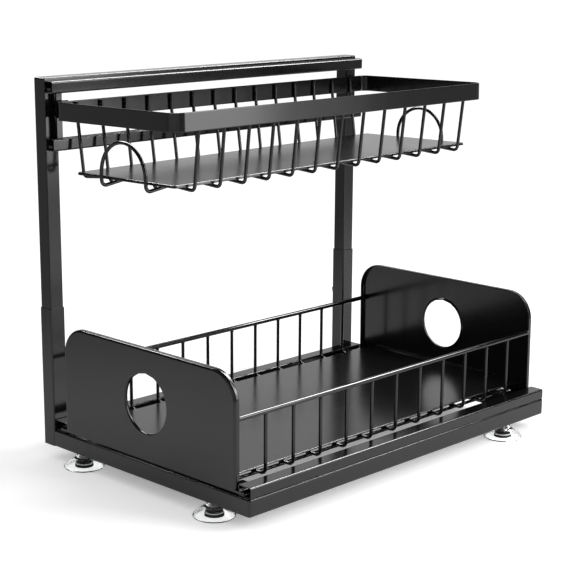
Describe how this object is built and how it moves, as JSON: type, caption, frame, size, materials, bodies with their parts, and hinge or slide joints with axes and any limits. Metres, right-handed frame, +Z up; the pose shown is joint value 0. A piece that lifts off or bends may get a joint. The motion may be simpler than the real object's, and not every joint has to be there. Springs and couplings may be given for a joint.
{
  "type": "under sink organizer",
  "caption": "Two-tier under sink organizer: a wire basket on a height-adjustable rear frame above a wire drawer, both sliding sideways on a tubular steel base with suction feet.",
  "frame": {"origin": "on the surface it stands on, under the middle of its bounding box", "axes": "+X along the long side, to which basket and drawer slide; +Y from the front to the rear posts; +Z up"},
  "size_m": [0.4098, 0.2884, 0.3448],
  "materials": {
    "black_steel": "satin black powder coat",
    "black_wire": "satin black coat on round wire",
    "clear_rubber": "clear soft vinyl, glossy",
    "zinc": "zinc plated",
    "black_plastic": "black nylon"
  },
  "bodies": {
    "base": {"left_side_rail": "black_steel", "right_side_rail": "black_steel", "front_cross_tube": "black_steel", "back_cross_tube": "black_steel", "left_sleeve_post": "black_steel", "right_sleeve_post": "black_steel", "sleeve_plugs": "black_plastic", "front_track": "black_steel", "back_track": "black_steel", "drawer_stop_rivets": "zinc", "front_left_foot": "clear_rubber", "back_left_foot": "clear_rubber", "front_right_foot": "clear_rubber", "back_right_foot": "clear_rubber", "foot_studs": "zinc", "foot_nuts": "zinc"},
    "rear_frame": {"left_inner_post": "black_steel", "right_inner_post": "black_steel", "top_cross_tube": "black_steel", "post_plugs": "black_plastic", "upper_rail": "black_steel", "lower_rail": "black_steel", "basket_stop_rivets": "zinc", "lock_screws": "zinc", "lock_washers": "zinc", "lock_inserts": "zinc"},
    "basket": {"basket_rim": "black_steel", "basket_floor": "black_steel", "basket_front_wires": "black_wire", "basket_back_wires": "black_wire", "left_arch": "black_wire", "right_arch": "black_wire", "left_hanger": "black_steel", "right_hanger": "black_steel", "hanger_spacers": "black_steel", "hanger_screws": "black_steel", "hanger_nuts": "black_steel", "upper_slide_bar": "black_steel", "lower_slide_bar": "black_steel", "upper_glides": "black_plastic", "lower_glides": "black_plastic"},
    "drawer": {"drawer_floor": "black_steel", "drawer_left_panel": "black_steel", "drawer_right_panel": "black_steel", "drawer_left_tie": "black_steel", "drawer_right_tie": "black_steel", "drawer_front_top_wire": "black_wire", "drawer_back_top_wire": "black_wire", "drawer_front_foot_wire": "black_wire", "drawer_back_foot_wire": "black_wire", "drawer_front_uprights": "black_wire", "drawer_back_uprights": "black_wire", "drawer_front_runner": "black_steel", "drawer_back_runner": "black_steel", "drawer_front_glides": "black_plastic", "drawer_back_glides": "black_plastic"}
  },
  "joints": [
    {"name": "height_slide", "type": "slide", "parent": "base", "child": "rear_frame", "axis": [0, 0, 1], "range_m": [-0.03, 0.03]},
    {"name": "basket_slide", "type": "slide", "parent": "rear_frame", "child": "basket", "axis": [1, 0, 0], "range_m": [-0.17, 0.17]},
    {"name": "drawer_slide", "type": "slide", "parent": "base", "child": "drawer", "axis": [1, 0, 0], "range_m": [-0.17, 0.17]}
  ]
}
